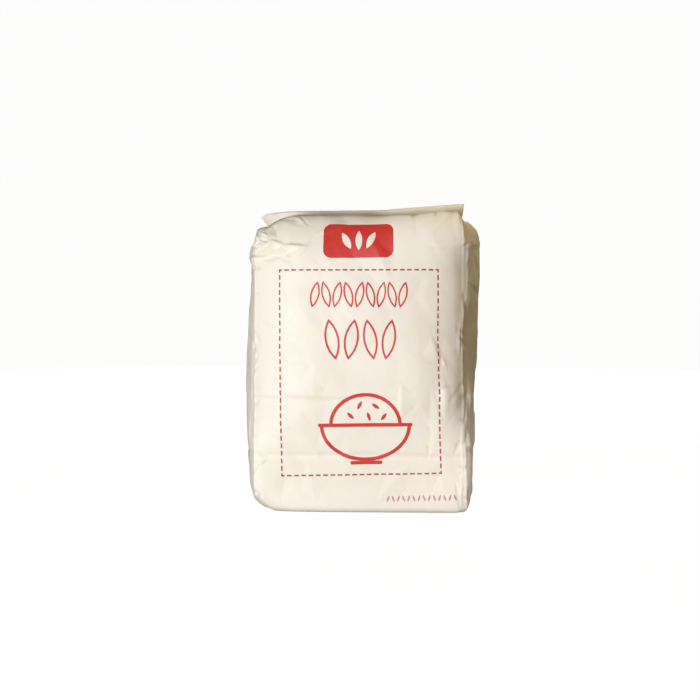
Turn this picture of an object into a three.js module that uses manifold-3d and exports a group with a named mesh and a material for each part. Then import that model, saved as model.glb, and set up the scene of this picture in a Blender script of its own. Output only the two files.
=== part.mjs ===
// A filled 5 kg paper flour bag, shut and standing on its block bottom.
// Millimetres, +Z up. The front faces -Y, and the origin is the middle of the base.
// The paper tube has four creased corners. Flour pushes the panels out between them,
// the foot and the shoulders are round, and the front and back panels meet along the
// middle of the top, where the mouth is rolled into a flat upright closing strip.
import * as THREE from "three";
import { mergeVertices } from "three/addons/utils/BufferGeometryUtils.js";
import Module from "manifold-3d";

// Driving sizes of the bag
const shoulderHeight = 215; // where the walls start to turn in
const shoulderRun = 110; // usual length of the paper over the shoulder
const sinkStart = 0.6; // share of the shoulder after which it dips towards the mouth
const mouthHalfGap = 1.6; // half the thickness of the shut mouth
const topLean = 2.4; // the top rises to the right and sinks to the left by this
const leanHalfWidth = 100; // this far from the middle
const leanStart = 190; // the lean starts at this height
const leanEnd = 283;
const tightRound = 6; // radius of the foot under the front and back

// The folded block bottom is squarer than the wall above it: its creased corners stand
// out, and the panels between them sink in.
const boxTop = 58;
const boxFade = 112; // it is gone at this height
const boxFullHeight = 30; // and at its full depth from this height
const boxCorner = 7;
const boxPanel = -3;

// The creases of the right shoulder stand out further to the front and back by this share,
// from nothing at the first height to all of it at the second.
const cornerStand = 0.24;
const standStart = 222;
const standFull = 262;

// Each line up the bag has its reach sideways and its reach to the front or back at the
// foot, at the shoulder and at the mouth. belly is what it swells between foot and
// shoulder, footRound the radius of the foot, turn the power of the superellipse over the
// shoulder, where a lower one is squarer, crest its height and sink its dip at the mouth.
const lines = {
  rightCorner: {
    foot: [101.5, 52], shoulder: [97, 45.5], belly: [-2, -1], mouth: [90, mouthHalfGap],
    footRound: tightRound, turn: 0.42, crest: 286.8, sink: 7, box: boxCorner,
  },
  leftCorner: {
    foot: [100.8, 52], shoulder: [100, 45.8], belly: [-0.5, -1], mouth: [90, mouthHalfGap],
    footRound: 20, turn: 0.54, crest: 278.5, sink: 3, box: boxCorner,
  },
  roundPanel: {
    foot: [0, 59], shoulder: [0, 64.5], belly: [0, 5], mouth: [0, mouthHalfGap],
    footRound: tightRound, turn: 0.69, crest: 287.2, sink: 7.5, box: boxPanel,
  },
  squarePanel: {
    foot: [0, 59], shoulder: [0, 64.5], belly: [0, 5], mouth: [0, mouthHalfGap],
    footRound: tightRound, turn: 0.42, crest: 287.2, sink: 7.5, box: boxPanel,
  },
  rightSide: {
    foot: [110.5, 0], shoulder: [115.5, 0], belly: [-2.8, 0], mouth: [60, 0],
    footRound: 16, turn: 0.455, crest: 281.2, sink: 3, box: 0,
  },
  leftSide: {
    foot: [109.5, 0], shoulder: [112.6, 0], belly: [3.8, 0], mouth: [60, 0],
    footRound: 22, turn: 0.444, crest: 278, sink: 3, box: 0,
  },
};

// How a panel swells between its corners: by one less a power of the distance across,
// and by a higher power over the share of the swell in its tight turn beside the crease.
const panelSwell = { power: 4.2, boxPower: 8, edgePower: 14, leftEdge: 0.04, rightEdge: 0.2 };
const sideSwell = { power: 1.25, edgePower: 9, leftEdge: 0, rightEdge: 0.22 };

// The shoulder turns from round to square between these shares of the way to the right.
const squareFrom = -0.1;
const squareTo = 0.7;

// The crest is uneven: its places across, and how much higher or lower it is there
const crestWave = [
  [-97, -2], [-90.7, -2], [-80, 0.6], [-69.3, 1.7], [-59.6, 1.9], [-40, 1.2], [-20, 0.5],
  [0, 0], [37.6, -0.9], [52, -3], [68.7, 0.8], [80, 2.2], [92, 0.4], [96, -3.6],
];
const waveStart = 255;
const waveEnd = 280;

// The closing strip, seen from the front: the places and heights of its top edge, and
// the point that sticks out at its left end
const strip = {
  top: [
    [-94.5, 285], [-81.2, 287.2], [-61.6, 288.2], [16.7, 288.6], [33.3, 290], [69.5, 292.8],
    [97, 294.6], [99, 294.8],
  ],
  tall: 15,
  tip: 6, // how far it sticks out
  tipDrop: 3.6, // below the top edge
  tipSlant: 8, // and it is cut back again over this
  thickness: 3.3,
  leanBack: 0.1, // per unit of height
  leanFoot: 272, // above this height
};

// How finely the surface is divided
const footRows = 5;
const wallRows = 16;
const shoulderRows = 18;
const frontColumns = 36;
const sideColumns = 14;
const columnGather = 0.3; // how much closer the columns are near the corners
const shoulderSteps = 160; // of the fine curve that the shoulder's rows are spaced along

const blend = (from, to, share) => from + (to - from) * share;

function smoothStep(low, high, value) {
  const share = THREE.MathUtils.clamp((value - low) / (high - low), 0, 1);
  return share * share * (3 - 2 * share);
}

// The height of a line of [place, height] pairs at x
function heightAt(pairs, x) {
  const next = pairs.findIndex(([place]) => place > x);
  if (next === 0) return pairs[0][1];
  if (next < 0) return pairs[pairs.length - 1][1];
  const [fromPlace, from] = pairs[next - 1];
  const [toPlace, to] = pairs[next];
  return blend(from, to, (x - fromPlace) / (toPlace - fromPlace));
}

// 1 in the box of the block bottom and 0 above it
const inBox = (height) => smoothStep(boxFade, boxTop, height);

// A point of the foot or wall: a straight line plus half a sine wave, less what a quarter
// circle takes off at the foot
function wallPoint(line, height) {
  const share = height / shoulderHeight;
  const inside = Math.max(1 - height / line.footRound, 0);
  const tuck = line.footRound * (1 - Math.sqrt(1 - inside ** 2));
  const reach = [0, 1].map(
    (i) =>
      blend(line.foot[i], line.shoulder[i], share) +
      line.belly[i] * Math.sin(Math.PI * share) -
      (line.foot[i] > 0 ? tuck : 0),
  );
  const stand = line.box * inBox(height) * smoothStep(0, boxFullHeight, height);
  return new THREE.Vector3(reach[0], reach[1] + stand, height);
}

// The shoulder: a quarter of a superellipse that dips as it nears the mouth
function shoulderCurve(line) {
  const points = [];
  for (let i = 0; i <= shoulderSteps; i++) {
    const share = i / shoulderSteps;
    const turn = share * (Math.PI / 2);
    const inward = Math.max(Math.cos(turn), 0) ** line.turn;
    const upward = Math.sin(turn) ** line.turn;
    const dip = line.sink * smoothStep(sinkStart, 1, share);
    points.push(
      new THREE.Vector3(
        blend(line.mouth[0], line.shoulder[0], inward),
        blend(line.mouth[1], line.shoulder[1], inward),
        blend(shoulderHeight, line.crest, upward) - dip,
      ),
    );
  }
  const curve = new THREE.CatmullRomCurve3(points);
  curve.arcLengthDivisions = shoulderSteps * 8;
  return curve;
}

// One line up the bag as points of sideways reach, front reach and height. Its rows lie
// level up to the shoulder. They start over the shoulder at the usual spacing, and take up
// what this line has more or less of its length as they near the mouth.
function lineUp(line) {
  const points = [];
  for (let row = 0; row < footRows; row++) {
    const turn = (row / footRows) * (Math.PI / 2);
    points.push(wallPoint(line, tightRound * (1 - Math.cos(turn))));
  }
  for (let row = 0; row < wallRows; row++) {
    points.push(wallPoint(line, blend(tightRound, shoulderHeight, row / wallRows)));
  }
  const curve = shoulderCurve(line);
  const usual = shoulderRun / curve.getLength();
  for (let row = 0; row <= shoulderRows; row++) {
    const share = row / shoulderRows;
    points.push(curve.getPointAt(usual * share + (1 - usual) * share ** 2));
  }
  return points;
}

const up = {};
for (const [name, line] of Object.entries(lines)) up[name] = lineUp(line);
for (const point of up.rightCorner) {
  point.y *= 1 + cornerStand * smoothStep(standStart, standFull, point.z);
}

// The swell of a panel at a place across it, from -1 to 1
function swellAt(across, power, edgePower, edge) {
  const away = Math.abs(across);
  return 1 - (1 - edge) * away ** power - edge * away ** edgePower;
}

// A point of the front (out -1) or back (out +1) panel, across it from -1 left to 1 right
function panelPoint(row, across, out) {
  const corner = (across > 0 ? up.rightCorner : up.leftCorner)[row];
  const square = smoothStep(squareFrom, squareTo, across);
  const middle = up.roundPanel[row].clone().lerp(up.squarePanel[row], square);
  const box = inBox(middle.z);
  const swell = swellAt(
    across,
    blend(panelSwell.power, panelSwell.boxPower, box),
    panelSwell.edgePower,
    (across > 0 ? panelSwell.rightEdge : panelSwell.leftEdge) * (1 - box),
  );
  return new THREE.Vector3(
    across * corner.x,
    out * blend(corner.y, middle.y, swell),
    blend(corner.z, middle.z, swell),
  );
}

// A point of the right (out +1) or left (out -1) side, across it from -1 front to 1 back
function sidePoint(row, across, out) {
  const corner = (out > 0 ? up.rightCorner : up.leftCorner)[row];
  const middle = (out > 0 ? up.rightSide : up.leftSide)[row];
  const edge = out > 0 ? sideSwell.rightEdge : sideSwell.leftEdge;
  const swell = swellAt(across, sideSwell.power, sideSwell.edgePower, edge);
  return new THREE.Vector3(
    out * blend(corner.x, middle.x, swell),
    across * corner.y,
    blend(corner.z, middle.z, swell),
  );
}

// Places from -1 to 1 across a panel, closer together near its corners
function placesAcross(count) {
  const places = [];
  for (let i = 0; i < count; i++) {
    const step = i / count;
    const share = step - (columnGather * Math.sin(2 * Math.PI * step)) / (2 * Math.PI);
    places.push(2 * share - 1);
  }
  return places;
}

// The ring of points round the bag at one row, anticlockwise from the front left corner
function ringAt(row) {
  const front = placesAcross(frontColumns);
  const side = placesAcross(sideColumns);
  const points = [
    ...front.map((place) => panelPoint(row, place, -1)),
    ...side.map((place) => sidePoint(row, place, 1)),
    ...front.map((place) => panelPoint(row, -place, 1)),
    ...side.map((place) => sidePoint(row, -place, -1)),
  ];
  for (const point of points) {
    const lean = (topLean * smoothStep(leanStart, leanEnd, point.z) * point.x) / leanHalfWidth;
    const wave = heightAt(crestWave, point.x) * smoothStep(waveStart, waveEnd, point.z);
    point.z += lean + wave;
  }
  return points;
}

// The filled body: rings joined by triangles, with a flat base and a shut mouth
function bodyGeometry() {
  const rows = footRows + wallRows + shoulderRows;
  const around = 2 * (frontColumns + sideColumns);
  const positions = [];
  const triangles = [];
  for (let row = 0; row <= rows; row++) {
    for (const point of ringAt(row)) positions.push(point.x, point.y, point.z);
  }
  for (let row = 0; row < rows; row++) {
    for (let i = 0; i < around; i++) {
      const here = row * around + i;
      const next = row * around + ((i + 1) % around);
      triangles.push(here, next, next + around, here, next + around, here + around);
    }
  }
  const baseMiddle = positions.length / 3;
  const mouthMiddle = baseMiddle + 1;
  positions.push(0, 0, 0, 0, 0, up.roundPanel[rows].z);
  for (let i = 0; i < around; i++) {
    const next = (i + 1) % around;
    triangles.push(next, i, baseMiddle);
    triangles.push(rows * around + i, rows * around + next, mouthMiddle);
  }
  const geometry = new THREE.BufferGeometry();
  geometry.setAttribute("position", new THREE.Float32BufferAttribute(positions, 3));
  geometry.setIndex(triangles);
  return geometry;
}

// The closing strip: its outline from the front, extruded through its thickness and
// leaning back a little. Its foot is hidden in the body.
function stripGeometry() {
  const outline = new THREE.Shape();
  const [left, leftTop] = strip.top[0];
  outline.moveTo(left, leftTop);
  outline.lineTo(left - strip.tip, leftTop - strip.tipDrop);
  outline.lineTo(left, leftTop - strip.tipDrop - strip.tipSlant);
  for (const [place, height] of strip.top.slice(0, -1)) {
    outline.lineTo(place, height - strip.tall);
  }
  for (const [place, height] of strip.top.slice(1).reverse()) outline.lineTo(place, height);
  const geometry = new THREE.ExtrudeGeometry(outline, {
    depth: strip.thickness,
    bevelEnabled: false,
  });
  geometry.rotateX(Math.PI / 2);
  geometry.applyMatrix4(new THREE.Matrix4().makeShear(0, 0, 0, 0, 0, strip.leanBack));
  geometry.translate(0, strip.thickness / 2 - strip.leanBack * strip.leanFoot, 0);
  return geometry;
}

const wasm = await Module();
wasm.setup();

function solidOf(geometry) {
  geometry.deleteAttribute("normal");
  geometry.deleteAttribute("uv");
  const merged = mergeVertices(geometry, 1e-3);
  return new wasm.Manifold(
    new wasm.Mesh({
      numProp: 3,
      vertProperties: merged.attributes.position.array,
      triVerts: new Uint32Array(merged.index.array),
    }),
  );
}

function geometryOf(solid) {
  const mesh = solid.getMesh();
  const geometry = new THREE.BufferGeometry();
  geometry.setAttribute("position", new THREE.BufferAttribute(mesh.vertProperties, 3));
  geometry.setIndex(new THREE.BufferAttribute(mesh.triVerts, 1));
  geometry.computeVertexNormals();
  return geometry;
}

const paper = new THREE.MeshStandardMaterial({ color: 0xf4ecdd, roughness: 0.75, metalness: 0 });

const bag = new THREE.Mesh(
  geometryOf(solidOf(bodyGeometry()).add(solidOf(stripGeometry()))),
  paper,
);
bag.name = "bag";

const flourBag = new THREE.Group();
flourBag.add(bag);

export default flourBag;
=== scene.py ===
import math

import bpy
import numpy as np
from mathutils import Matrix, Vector


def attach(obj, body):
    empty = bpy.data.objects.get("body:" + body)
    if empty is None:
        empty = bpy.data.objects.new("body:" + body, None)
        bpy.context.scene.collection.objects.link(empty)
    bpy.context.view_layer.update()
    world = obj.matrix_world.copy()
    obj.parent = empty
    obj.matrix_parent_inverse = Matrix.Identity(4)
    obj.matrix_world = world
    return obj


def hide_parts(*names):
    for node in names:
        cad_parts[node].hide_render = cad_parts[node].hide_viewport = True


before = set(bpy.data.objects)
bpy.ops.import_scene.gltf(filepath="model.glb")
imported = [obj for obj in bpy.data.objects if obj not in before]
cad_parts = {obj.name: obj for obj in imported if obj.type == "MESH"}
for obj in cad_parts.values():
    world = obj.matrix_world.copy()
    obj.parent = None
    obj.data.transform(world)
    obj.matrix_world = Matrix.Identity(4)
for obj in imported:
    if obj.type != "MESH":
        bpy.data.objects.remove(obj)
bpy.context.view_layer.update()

print("frame loaded")

# the bag's body: its four creased corners and the middles of its panels, in metres
bagShape = {
    "shoulderHeight": 0.215,    # where the walls start to turn in
    "lean": 0.0024,             # the top rises to the right and sinks to the left by this
    "leanReach": 0.1,           # at this distance from the middle
    "leanDepth": 0.025,         # the lean starts this far below the shoulder
    "leanTop": 0.283,           # and is all there from this height up
    "sinkStart": 0.6,           # share of the shoulder after which it dips to the mouth
    "squareness": 4.2,          # of the front and back; higher is flatter with tighter corners
    "edgeSquareness": 10.5,     # of the tight turn just before the creases
    "leftEdge": 0.04, "rightEdge": 0.23,        # the share of the swell that this turn takes
    "shoulderSquareness": 5.0,  # of the right shoulder
    "squareHeights": (0.225, 0.262),            # it turns that square between these heights
    "squarePlaces": (-0.1, 0.7),                # where across the round shoulder turns square
    "shoulderCorner": 0.24,     # how much further its creases stand out to the front and back
    "standHeights": (0.222, 0.262),             # from none to all of it between these heights
    "boxSquareness": 8.0,       # of the folded lowest part
    "boxHeights": (0.112, 0.058),               # it begins between these heights
    "boxCorner": 0.0070, "boxPanel": -0.0030,   # how far it stands out there, and sinks between
    "boxRise": (-0.004, 0.030),                 # and it does so from the ground up, between these
    "sideSquareness": 1.25,     # near 1 the sides are folded like a tent
    "sideTurn": 9.0,            # of the turn of a side just behind its front crease
    # the crest is uneven: at these places across it is higher or lower by this
    "crestPlaces": (-0.0970, -0.0907, -0.0800, -0.0693, -0.0596, -0.0400, -0.0200, 0.0, 0.0376,
                    0.0520, 0.0687, 0.0800, 0.0920, 0.0960),
    "crestRises": (-0.0020, -0.0020, 0.0026, 0.0045, 0.0050, 0.0032, 0.0013, 0.0002, -0.0009,
                   -0.0030, 0.0008, 0.0022, 0.0004, -0.0036),
    "crestHeights": (0.255, 0.280),             # from none to all of it between these heights
    "shoulderRun": 0.110,       # length of the paper over the shoulder
    "curvePoints": 3000,        # of the fine curve that its rows are spaced along
    "footRows": 9, "wallRows": 112, "shoulderRows": 102,
    "frontColumns": 176, "backColumns": 120, "sideColumns": 64,
    "gather": 0.3,              # how much closer the columns are near the corners
    "baseRings": 11,
}

# Each line up the bag gives its reach sideways and its reach to the front or back: at the foot, at
# the shoulder, the belly that it swells by between them, and at the mouth. turn is the power of
# the curve over the shoulder (lower is squarer), crest its height and sink the dip at the mouth.
bagLines = {
    "rightCorner": {"foot": (0.1015, 0.0520), "shoulder": (0.0970, 0.0455), "belly": (-0.0020, -0.0010),
                    "mouth": (0.0900, 0.0016), "footRound": 0.006, "turn": 0.42, "crest": 0.2868,
                    "sink": 0.0070},
    "leftCorner": {"foot": (0.1008, 0.0520), "shoulder": (0.1010, 0.0458), "belly": (0.0004, -0.0010),
                   "mouth": (0.0900, 0.0016), "footRound": 0.020, "turn": 0.54, "crest": 0.2785,
                   "sink": 0.0030},
    "panel": {"foot": (0, 0.0590), "shoulder": (0, 0.0645), "belly": (0, 0.0050),
              "mouth": (0, 0.0016), "footRound": 0.006, "turn": 0.69, "crest": 0.2872,
              "sink": 0.0075},
    "rightSide": {"foot": (0.1105, 0), "shoulder": (0.1155, 0), "belly": (-0.0028, 0),
                  "mouth": (0.0600, 0), "footRound": 0.016, "turn": 0.455, "crest": 0.2812,
                  "sink": 0.0030, "edge": 0.22},
    "leftSide": {"foot": (0.1095, 0), "shoulder": (0.1126, 0), "belly": (0.0038, 0),
                 "mouth": (0.0600, 0), "footRound": 0.022, "turn": 0.444, "crest": 0.2780,
                 "sink": 0.0030, "edge": 0.0},
}
# the front and back have a round shoulder, but a square one in their right part
bagLines["squarePanel"] = {**bagLines["panel"], "turn": 0.42}


# an S curve from 0 at low to 1 at high
def smoothStep(low, high, value):
    share = np.clip((value - low) / (high - low), 0, 1)
    return share * share * (3 - 2 * share)


# the same line of points, respaced to count steps along its length: even ones, or such that they
# begin as on a line of the usual length, and take up what this one has more or less of it later
def evenSteps(points, count, usual=None):
    run = np.concatenate([[0], np.cumsum(np.linalg.norm(np.diff(points, axis=0), axis=1))])
    share = np.linspace(0, 1, count + 1)
    usual = usual or run[-1]
    at = usual * share + (run[-1] - usual) * share ** 2
    return np.stack([np.interp(at, run, points[:, i]) for i in range(points.shape[1])], axis=1)


# sideways reach, front reach and height up one line: a straight wall plus half a sine wave, less
# what a quarter circle takes off at the foot, and then a quarter of a superellipse over the
# shoulder that dips at the mouth; up to the shoulder the rows lie level round the bag
def lineUp(line):
    low, tight = bagShape["shoulderHeight"], bagLines["panel"]["footRound"]
    foot, shoulder, belly, mouth = (np.array(line[name], float)
                                    for name in ("foot", "shoulder", "belly", "mouth"))
    turn = np.linspace(0, math.pi / 2, bagShape["footRows"] + 1)
    height = np.concatenate([tight * (1 - np.cos(turn[:-1])),
                             np.linspace(tight, low, bagShape["wallRows"] + 1)[:-1]])[:, None]
    share = height / low
    inside = np.clip(1 - height / line["footRound"], 0, 1)
    tuck = line["footRound"] * (1 - np.sqrt(1 - inside ** 2)) * (foot > 0)
    wallPart = np.hstack([foot + (shoulder - foot) * share + belly * np.sin(math.pi * share) - tuck,
                          height])
    share = np.linspace(0, 1, bagShape["curvePoints"])[:, None]
    turn = share * math.pi / 2
    inward = np.maximum(np.cos(turn), 0) ** line["turn"]
    upward = np.sin(turn) ** line["turn"]
    dip = line["sink"] * smoothStep(bagShape["sinkStart"], 1, share)
    shoulderPart = np.hstack([mouth + (shoulder - mouth) * inward,
                              low + (line["crest"] - low) * upward - dip])
    return np.concatenate([wallPart, evenSteps(shoulderPart, bagShape["shoulderRows"],
                                               bagShape["shoulderRun"])])


# shares of the way across a panel, closer together at both ends by one period of a sine wave
def columnShares(count):
    step = np.arange(count) / count
    return step - bagShape["gather"] * np.sin(2 * math.pi * step) / (2 * math.pi)


# 1 in the box of the folded bottom and 0 above it
def inBox(height):
    return smoothStep(*bagShape["boxHeights"], height)


# a front or back panel (out -1 or 1): between its corners the depth and height blend to those of
# the panel's middle by one less a power of the distance across, and a higher power near the ends
def panelGrid(lines, out):
    count = bagShape["frontColumns" if out < 0 else "backColumns"]
    across = ((columnShares(count) * 2 - 1) * -out)[None, :, None]
    corner = np.where(across > 0, lines["rightCorner"][:, None], lines["leftCorner"][:, None])
    soft, square = lines["panel"][:, None], lines["squarePanel"][:, None]
    middle = soft + (square - soft) * smoothStep(*bagShape["squarePlaces"], across)
    box = inBox(soft[:, :, 2:])
    power = bagShape["squareness"] + (bagShape["boxSquareness"] - bagShape["squareness"]) * box
    shoulder = smoothStep(*bagShape["squareHeights"], soft[:, :, 2:]) * (across > 0)
    power = power + (bagShape["shoulderSquareness"] - bagShape["squareness"]) * shoulder
    edge = np.where(across > 0, bagShape["rightEdge"], bagShape["leftEdge"]) * (1 - box)
    away = np.abs(across)
    swell = 1 - (1 - edge) * away ** power - edge * away ** bagShape["edgeSquareness"]
    grid = corner + (middle - corner) * swell
    grid[:, :, :1] = across * corner[:, :, :1]
    grid[:, :, 1] *= out
    return grid


# a side panel (out 1 right, -1 left), swollen the same way between its two corners
def sideGrid(lines, out):
    across = ((columnShares(bagShape["sideColumns"]) * 2 - 1) * out)[None, :, None]
    corner = lines["rightCorner" if out > 0 else "leftCorner"][:, None]
    side = "rightSide" if out > 0 else "leftSide"
    middle, edge = lines[side][:, None], bagLines[side]["edge"]
    away = np.abs(across)
    swell = 1 - (1 - edge) * away ** bagShape["sideSquareness"] - edge * away ** bagShape["sideTurn"]
    grid = corner + (middle - corner) * swell
    grid[:, :, 0] *= out
    grid[:, :, 1:2] = across * corner[:, :, 1:2]
    return grid


# the smooth bag: front, right, back and left side by side, so that columns run round the bag
def smoothBag():
    lines = {name: lineUp(line) for name, line in bagLines.items()}
    for name, stand in (("rightCorner", bagShape["boxCorner"]), ("leftCorner", bagShape["boxCorner"]),
                        ("panel", bagShape["boxPanel"]), ("squarePanel", bagShape["boxPanel"])):
        height = lines[name][:, 2]
        lines[name][:, 1] += stand * inBox(height) * smoothStep(*bagShape["boxRise"], height)
    high = smoothStep(*bagShape["standHeights"], lines["rightCorner"][:, 2])
    lines["rightCorner"][:, 1] *= 1 + bagShape["shoulderCorner"] * high
    grid = np.concatenate([panelGrid(lines, -1), sideGrid(lines, 1),
                           panelGrid(lines, 1), sideGrid(lines, -1)], axis=1)
    leanStart = bagShape["shoulderHeight"] - bagShape["leanDepth"]
    high = smoothStep(leanStart, bagShape["leanTop"], grid[:, :, 2])
    wave = np.interp(grid[:, :, 0], bagShape["crestPlaces"], bagShape["crestRises"])
    wave *= smoothStep(*bagShape["crestHeights"], grid[:, :, 2])
    grid[:, :, 2] += bagShape["lean"] * high * grid[:, :, 0] / bagShape["leanReach"] + wave
    step = np.linalg.norm(np.diff(lines["panel"], axis=0), axis=1)
    return grid, np.concatenate([[0], np.cumsum(step)])


# outward unit normals of a grid whose columns close into rings
def gridNormals(grid):
    sideways = np.roll(grid, -1, axis=1) - np.roll(grid, 1, axis=1)
    normal = np.cross(sideways, np.gradient(grid, axis=0))
    return normal / np.maximum(np.linalg.norm(normal, axis=2, keepdims=True), 1e-12)


bagGrid, paperUp = smoothBag()
bagNormals = gridNormals(bagGrid)

# the paper, unrolled: across from the front left corner round the bag, up from the base
paper = {
    "width": 0.207, "depth": 0.102,     # of the front and of a side
    "under": 0.0545, "past": 0.002,     # how far its map runs on under the base and in the mouth
}
halfRound = paper["width"] + paper["depth"]
paperRound = 2 * halfRound
paperAcross = np.concatenate([
    columnShares(bagShape[columns]) * paper[size] + start
    for columns, size, start in (
        ("frontColumns", "width", 0),
        ("sideColumns", "depth", paper["width"]),
        ("backColumns", "width", halfRound),
        ("sideColumns", "depth", halfRound + paper["width"]))])
acrossGrid, upGrid = np.meshgrid(paperAcross, paperUp)
print("paper", round(paperUp[-1] * 1000), "mm tall,", len(paperUp), "rows of", len(paperAcross))

# Folds, in millimetres on the unrolled paper: from and to are the ends of the line, rise its
# height (a valley is below 0), and before and after how far it reaches to its left and right,
# looking along it. Where these differ the fold is steep on one side. Two more numbers are the
# shares of the length over which it grows and fades, where they aren't the usual ones.
frontFolds = [
    # the folds of the block bottom, and the mark that the flat bag's base left
    ((-30, 59), (130, 59.5), -0.7, 12, 3), ((80, 59.3), (240, 58.5), -0.8, 12, 3),
    ((-10, 115), (94, 113.5), -0.9, 4, 9), ((70, 114), (150, 115), -0.6, 4, 9),
    ((170.5, 72), (170, 56), -0.9, 3, 2), ((2, 60), (15, 58), -1.0, 3, 3),
    ((14, 59), (2, 49), 0.9, 3, 4), ((1, 22), (10, 19), -0.9, 3, 3), ((2, 30), (12, 8), 0.8, 4, 5),
    # long soft facets
    ((59, 112), (58, 150), 0.9, 10, 14), ((144, 95), (143.5, 128), 1.5, 3.2, 14),
    ((171.5, 60), (173.5, 122), -1.3, 16, 8), ((174.5, 172), (184, 143), 1.4, 4, 12),
    ((185, 152), (190.5, 141), 1.0, 2, 3), ((186, 136), (190, 100), 0.8, 5, 10),
    ((92, 150), (86, 190), 0.7, 16, 12), ((60, 62), (88, 84), 0.8, 10, 14),
    ((20, 160), (48, 205), -0.7, 14, 10), ((120, 16), (152, 52), 0.9, 9, 12),
    ((60, 12), (52, 52), 0.8, 10, 9), ((30, 70), (14, 104), 0.8, 9, 12),
    ((24, 10), (34, 56), -0.6, 8, 10), ((170, 20), (186, 54), -0.8, 10, 8),
    ((150, 200), (170, 232), -0.6, 12, 10), ((112, 160), (118, 225), 0.5, 14, 14),
    # the crumpled left shoulder: a valley, a ledge in two parts with a hollow below it, and
    # small sharp ridges beside the crease
    ((11, 292), (21, 268), -2.2, 3, 5.5), ((13, 267.5), (30, 259.5), 1.9, 1.6, 8),
    ((26, 260), (54, 257.5), 2.3, 1.8, 12), ((0, 245.5), (31, 248.5), -1.1, 3, 4),
    ((28, 248), (48, 254.5), -1.0, 3, 5), ((20, 292), (56, 277), -1.2, 6, 6),
    ((36, 292), (51, 277), 1.7, 1.5, 6), ((-4, 280), (4, 266), 1.8, 2.2, 2.2),
    ((3, 282), (11, 272), 1.3, 2, 2.6), ((4.5, 267), (2, 255), 1.5, 1.8, 2.4),
    ((2, 271), (12, 266), -1.5, 2, 2.6), ((6, 261), (15, 266), 0.9, 1.5, 3),
    ((-3, 258), (6, 262), -1.3, 2, 2), ((60, 268), (96, 282), 1.0, 8, 6),
    ((-6, 240), (8, 236), -1.6, 3, 4), ((24, 246), (40, 232), 0.8, 5, 6),
    ((-7, 226), (-5, 286), 2.4, 7, 6), ((-3, 252), (-12, 246), -1.6, 3, 3),
    # what stands out and falls in where the left shoulder turns to the side
    ((-64, 284), (-20, 282), 3.2, 8, 7), ((-66, 268), (-18, 266), -2.6, 6, 7),
    # the smoother right shoulder
    ((181, 295), (180, 280), -0.9, 2, 4), ((158, 294), (155, 282), -0.8, 3, 3),
    ((126, 290), (200, 291), 1.2, 5, 16),
    # the second creases that run beside the right corner, and the small ones of its foot
    ((210, 170), (211, 146), 0.7, 2, 1.5), ((211.5, 195), (211, 300), 0.5, 3.5, 3),
    ((213, 50), (211.5, 112), 1.0, 4, 3), ((218, 268), (209, 236), 1.4, 4, 4),
    ((215.5, 8), (214, 84), 3.6, 8.5, 4, 0.3, 0.2),
    ((201, 6), (203, 44), 0.9, 2.2, 1.5), ((204.5, 30), (205, 104), 0.8, 2, 1.5),
    ((199, 8), (196, 38), -1.0, 2, 2.5), ((203, 150), (204.5, 190), 0.9, 3, 1.5),
    ((196, 60), (204, 76), -0.8, 3, 3), ((222, 100), (214, 66), 1.5, 5, 5),
    ((206, 66), (220, 60), -1.4, 3, 3), ((212, 71), (234, 63), 1.4, 2.5, 3),
    ((214, 61.5), (236, 62), 1.2, 2, 2.5),
    # the side lies flat just behind its crease, and low on the front a face beside it turns away
    ((211.2, 212), (211, 98), -2.3, 30, 4.2, 0.25, 0.25),
    ((186, 123.5), (188, 90), 1.9, 20, 6, 0.08, 0.6),
    # the right side stands out over the block bottom
    ((228, 66), (288, 66), 2.2, 28, 26),
    # a wedge pressed into the left corner
    ((-9, 168), (4.5, 152), -1.7, 5, 2.5), ((4, 153), (-3, 142), -1.0, 3, 2),
]


# signed distance round the paper, the short way
def roundTo(values, middle):
    return (values - middle + paperRound / 2) % paperRound - paperRound / 2


# adds one fold to relief, made of flat faces like a long tent: rise times what is left of shape
# after the distance across is taken off, where shape climbs over the share lead of the length and
# falls over the share trail; blunt rounds the ridge
def addFold(relief, start, end, rise, before, after, lead=0.4, trail=0.4, blunt=0.06):
    middle = (start + end) / 2
    half = np.hypot(*(end - start)) / 2
    way = (end - start) / (2 * half)
    reach = half + max(before, after)
    rows = slice(*np.searchsorted(paperUp, [middle[1] - reach, middle[1] + reach]))
    columns = np.flatnonzero(np.abs(roundTo(paperAcross, middle[0])) < reach)
    if rows.start == rows.stop or not len(columns):
        return
    x = roundTo(paperAcross[columns], middle[0])[None, :]
    y = (paperUp[rows] - middle[1])[:, None]
    share = ((x * way[0] + y * way[1]) / half + 1) / 2
    side = y * way[0] - x * way[1]
    shape = np.minimum(np.minimum(share / lead, (1 - share) / trail), 1)
    off = np.hypot(side / np.where(side > 0, before, after), blunt) - blunt
    relief[rows, columns] += rise * np.clip(shape - off, 0, None)


# smooth unevenness: random heights on a coarse net, blended by cubic B-splines
def lumps(random, cellAcross, cellUp):
    netAcross = max(int(round(paperRound / cellAcross)), 3)
    netUp = int(paperUp[-1] / cellUp) + 4
    heights = random.standard_normal((netUp, netAcross))

    def weights(place):
        whole = np.floor(place).astype(int)
        part = place - whole
        return whole, np.stack([(1 - part) ** 3 / 6, (3 * part ** 3 - 6 * part ** 2 + 4) / 6,
                                (-3 * part ** 3 + 3 * part ** 2 + 3 * part + 1) / 6, part ** 3 / 6])

    rowAt, rowWeight = weights(paperUp / cellUp)
    columnAt, columnWeight = weights(paperAcross / paperRound * netAcross)
    made = np.zeros(acrossGrid.shape)
    for i in range(4):
        for j in range(4):
            picked = heights[rowAt + i][:, (columnAt + j) % netAcross]
            made += rowWeight[i][:, None] * columnWeight[j][None, :] * picked
    return made


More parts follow.
